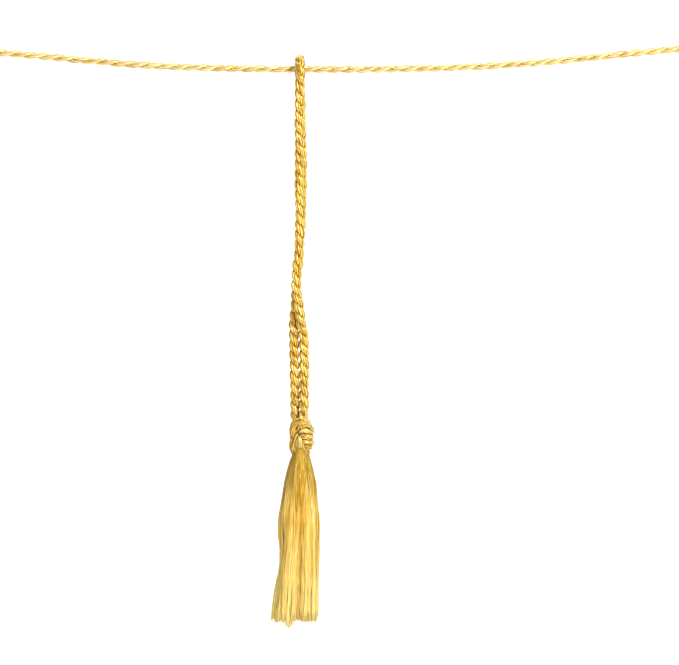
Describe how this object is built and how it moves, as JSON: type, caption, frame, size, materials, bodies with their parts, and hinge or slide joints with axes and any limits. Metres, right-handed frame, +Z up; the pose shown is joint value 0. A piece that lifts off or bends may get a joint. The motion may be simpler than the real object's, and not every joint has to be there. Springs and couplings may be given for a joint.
{
  "type": "silk tassel on a cord line",
  "caption": "Gold silk tassel with a twisted hanging loop, a tied knot and a combed fringe, on a taut twisted cord line that ends in knotted eyes.",
  "frame": {"origin": "bearing point of the left eye, where the support that holds the line's left end presses on the inside of the eye", "axes": "+X along the line from the left eye to the right one, +Y away from the front, +Z up"},
  "size_m": [0.2353, 0.013, 0.1627],
  "materials": {
    "silk_cord": "gold silk, twisted from two plies, with a soft sheen",
    "silk_floss": "gold silk floss, combed straight, glossy along the fibres",
    "line_cord": "thin gold silk cord, tightly twisted"
  },
  "bodies": {
    "root": {"hanging_loop": "silk_cord", "knot_and_fringe": "silk_floss", "hanging_line": "line_cord", "line_eye_left": "line_cord", "line_eye_right": "line_cord"}
  },
  "joints": []
}
